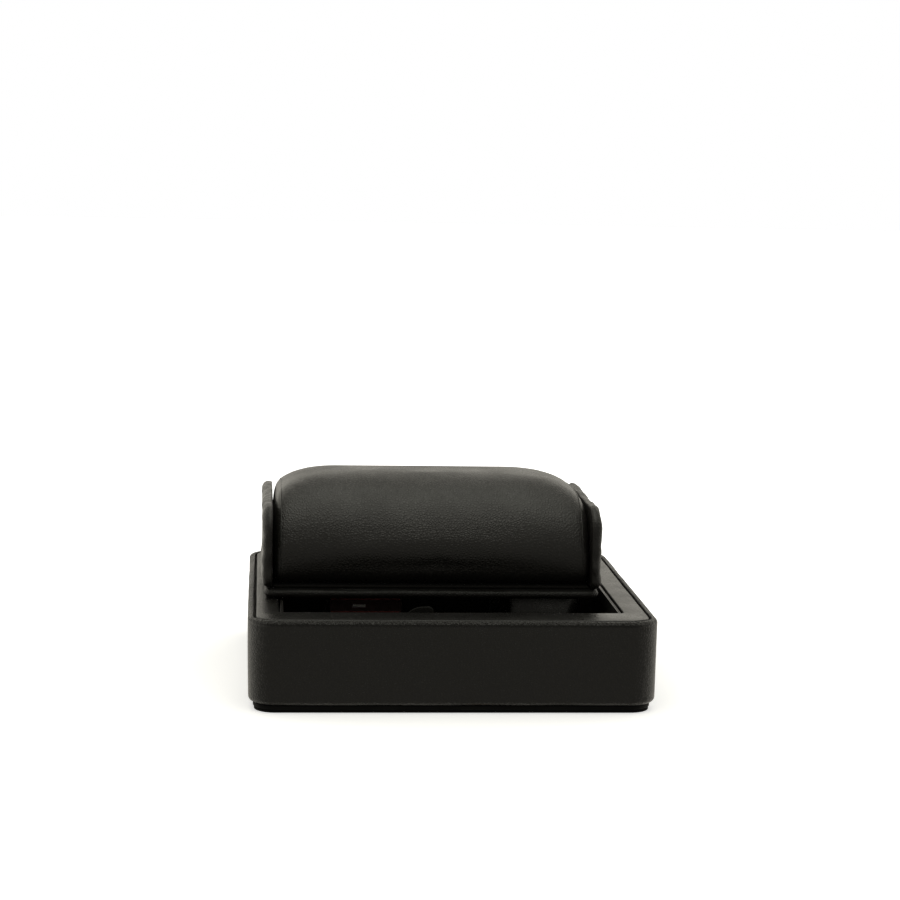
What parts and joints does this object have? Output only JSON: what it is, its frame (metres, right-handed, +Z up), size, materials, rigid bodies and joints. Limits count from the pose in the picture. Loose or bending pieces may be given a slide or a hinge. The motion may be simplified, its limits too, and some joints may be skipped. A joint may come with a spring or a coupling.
{
  "type": "jewelry box",
  "caption": "Low square leather-covered jewelry box, cover off, with a lift-out tray, a loose cradle between two cheeks and a padded watch cushion.",
  "frame": {"origin": "middle of the underside of the felt foot, on the surface the box stands on", "axes": "+X to the right seen from the front, +Y towards the back, +Z up"},
  "size_m": [0.12, 0.12, 0.0626],
  "materials": {
    "leather": "black pebbled leather, satin",
    "leather_dark": "black smooth leather, dull",
    "suede": "black suede cloth, matt",
    "felt": "black felt, matt",
    "foam": "grey open foam, matt",
    "fibreboard": "brown fibreboard, sanded",
    "greyboard": "grey bookbinder's board, raw",
    "painted_board": "black painted fibreboard, satin",
    "label_cloth": "dark red woven cloth, blank"
  },
  "bodies": {
    "base": {"wall_core": "fibreboard", "outer_leather": "leather", "bottom_board": "fibreboard", "plinth_board": "painted_board", "felt_pad": "felt"},
    "tray": {"collar_board": "greyboard", "collar_leather": "leather", "liner_front": "suede", "liner_back": "suede", "liner_left": "suede", "liner_right": "suede", "tray_floor": "greyboard", "floor_lining": "suede", "riser_left_core": "fibreboard", "riser_left_leather": "leather_dark", "riser_right_core": "fibreboard", "riser_right_leather": "leather_dark", "riser_label": "label_cloth", "pull_tab": "leather"},
    "cradle": {"cradle_board": "greyboard", "cradle_leather": "leather", "cradle_lining": "suede", "cheek_left_board": "greyboard", "cheek_left_leather": "leather", "cheek_right_board": "greyboard", "cheek_right_leather": "leather"},
    "cushion": {"cushion_foam": "foam", "cushion_stiffener": "greyboard", "cushion_cover": "leather", "cushion_end_left": "leather", "cushion_end_right": "leather"}
  },
  "joints": [
    {"name": "tray_lift", "type": "slide", "parent": "base", "child": "tray", "axis": [0, 0, 1], "range_m": [0, 0.03]},
    {"name": "cradle_lift", "type": "slide", "parent": "tray", "child": "cradle", "axis": [0, 0, 1], "range_m": [0, 0.03]},
    {"name": "cushion_lift", "type": "slide", "parent": "cradle", "child": "cushion", "axis": [0, 0, 1], "range_m": [0, 0.035]}
  ]
}
